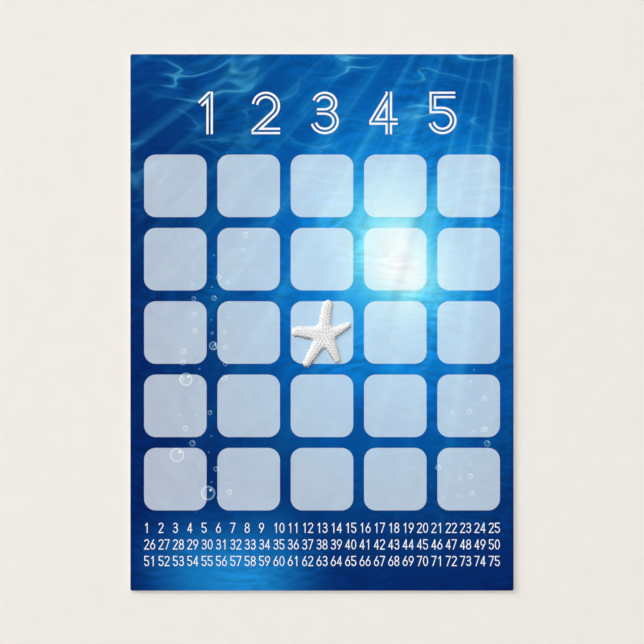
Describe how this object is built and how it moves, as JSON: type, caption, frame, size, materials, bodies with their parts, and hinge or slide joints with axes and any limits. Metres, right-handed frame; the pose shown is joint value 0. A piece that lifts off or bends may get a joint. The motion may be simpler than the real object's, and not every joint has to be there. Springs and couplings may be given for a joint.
{
  "type": "bingo card",
  "caption": "Flat printed paperboard bingo card with a blue picture print, a square grid of pale rounded spots, double-line heading numerals, a number list and a raised starfish.",
  "frame": {"origin": "middle of the card's back, on the surface that it lies on", "axes": "+X to the right of the printed face, +Y along the card towards the heading, +Z out of the printed face"},
  "size_m": [0.0636, 0.0888, 0.0011],
  "materials": {
    "back_liner": "uncoated white paper",
    "core_board": "cut board edge",
    "face_liner": "coated white paper",
    "picture_print": "full-bleed blue ink, satin",
    "spot_veil": "pale veil of white ink, matte so that it takes a pen",
    "star": "raised white ink, granular",
    "white_print": "opaque white ink"
  },
  "bodies": {
    "root": {"back_liner": "back_liner", "core_board": "core_board", "face_liner": "face_liner", "picture_print": "picture_print", "spot_row1_col1": "spot_veil", "spot_row1_col2": "spot_veil", "spot_row1_col3": "spot_veil", "spot_row1_col4": "spot_veil", "spot_row1_col5": "spot_veil", "spot_row2_col1": "spot_veil", "spot_row2_col2": "spot_veil", "spot_row2_col3": "spot_veil", "spot_row2_col4": "spot_veil", "spot_row2_col5": "spot_veil", "spot_row3_col1": "spot_veil", "spot_row3_col2": "spot_veil", "spot_row3_col3": "spot_veil", "spot_row3_col4": "spot_veil", "spot_row3_col5": "spot_veil", "spot_row4_col1": "spot_veil", "spot_row4_col2": "spot_veil", "spot_row4_col3": "spot_veil", "spot_row4_col4": "spot_veil", "spot_row4_col5": "spot_veil", "spot_row5_col1": "spot_veil", "spot_row5_col2": "spot_veil", "spot_row5_col3": "spot_veil", "spot_row5_col4": "spot_veil", "spot_row5_col5": "spot_veil", "star": "star", "heading_figure_1": "white_print", "heading_figure_2": "white_print", "heading_figure_3": "white_print", "heading_figure_4": "white_print", "heading_figure_5": "white_print", "tally_row_1": "white_print", "tally_row_2": "white_print", "tally_row_3": "white_print"}
  },
  "joints": []
}
